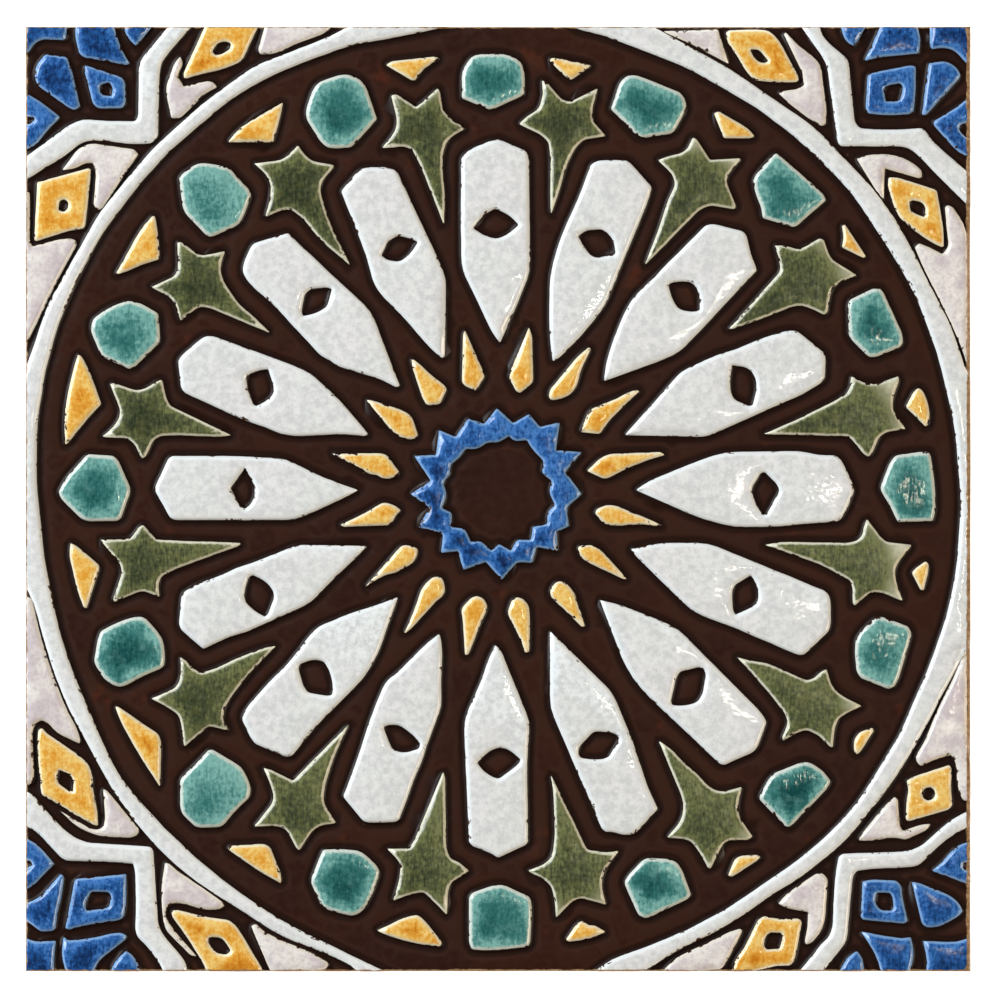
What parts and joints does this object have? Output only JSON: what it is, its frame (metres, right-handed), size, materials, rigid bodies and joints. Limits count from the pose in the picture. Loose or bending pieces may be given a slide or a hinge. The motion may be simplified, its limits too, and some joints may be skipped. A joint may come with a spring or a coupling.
{
  "type": "decorative relief tile",
  "caption": "Square glazed ceramic tile with raised pads in a radial star rosette inside a round band, coloured glazes over a sunken dark ground, and a flat back for bedding.",
  "frame": {"origin": "centre of the flat back face, which is the face that the tile lies on", "axes": "+Z out of the glazed relief face, +Y towards the top of the pattern as the picture shows it, +X to the right of it"},
  "size_m": [0.2, 0.2, 0.012],
  "materials": {
    "glazed_clay": "hand-glazed relief: glossy white, turquoise, olive, amber, cobalt and pale lilac pads over a satin dark brown ground, bare tan clay on the edges and back"
  },
  "bodies": {
    "root": {"tile": "glazed_clay"}
  },
  "joints": []
}
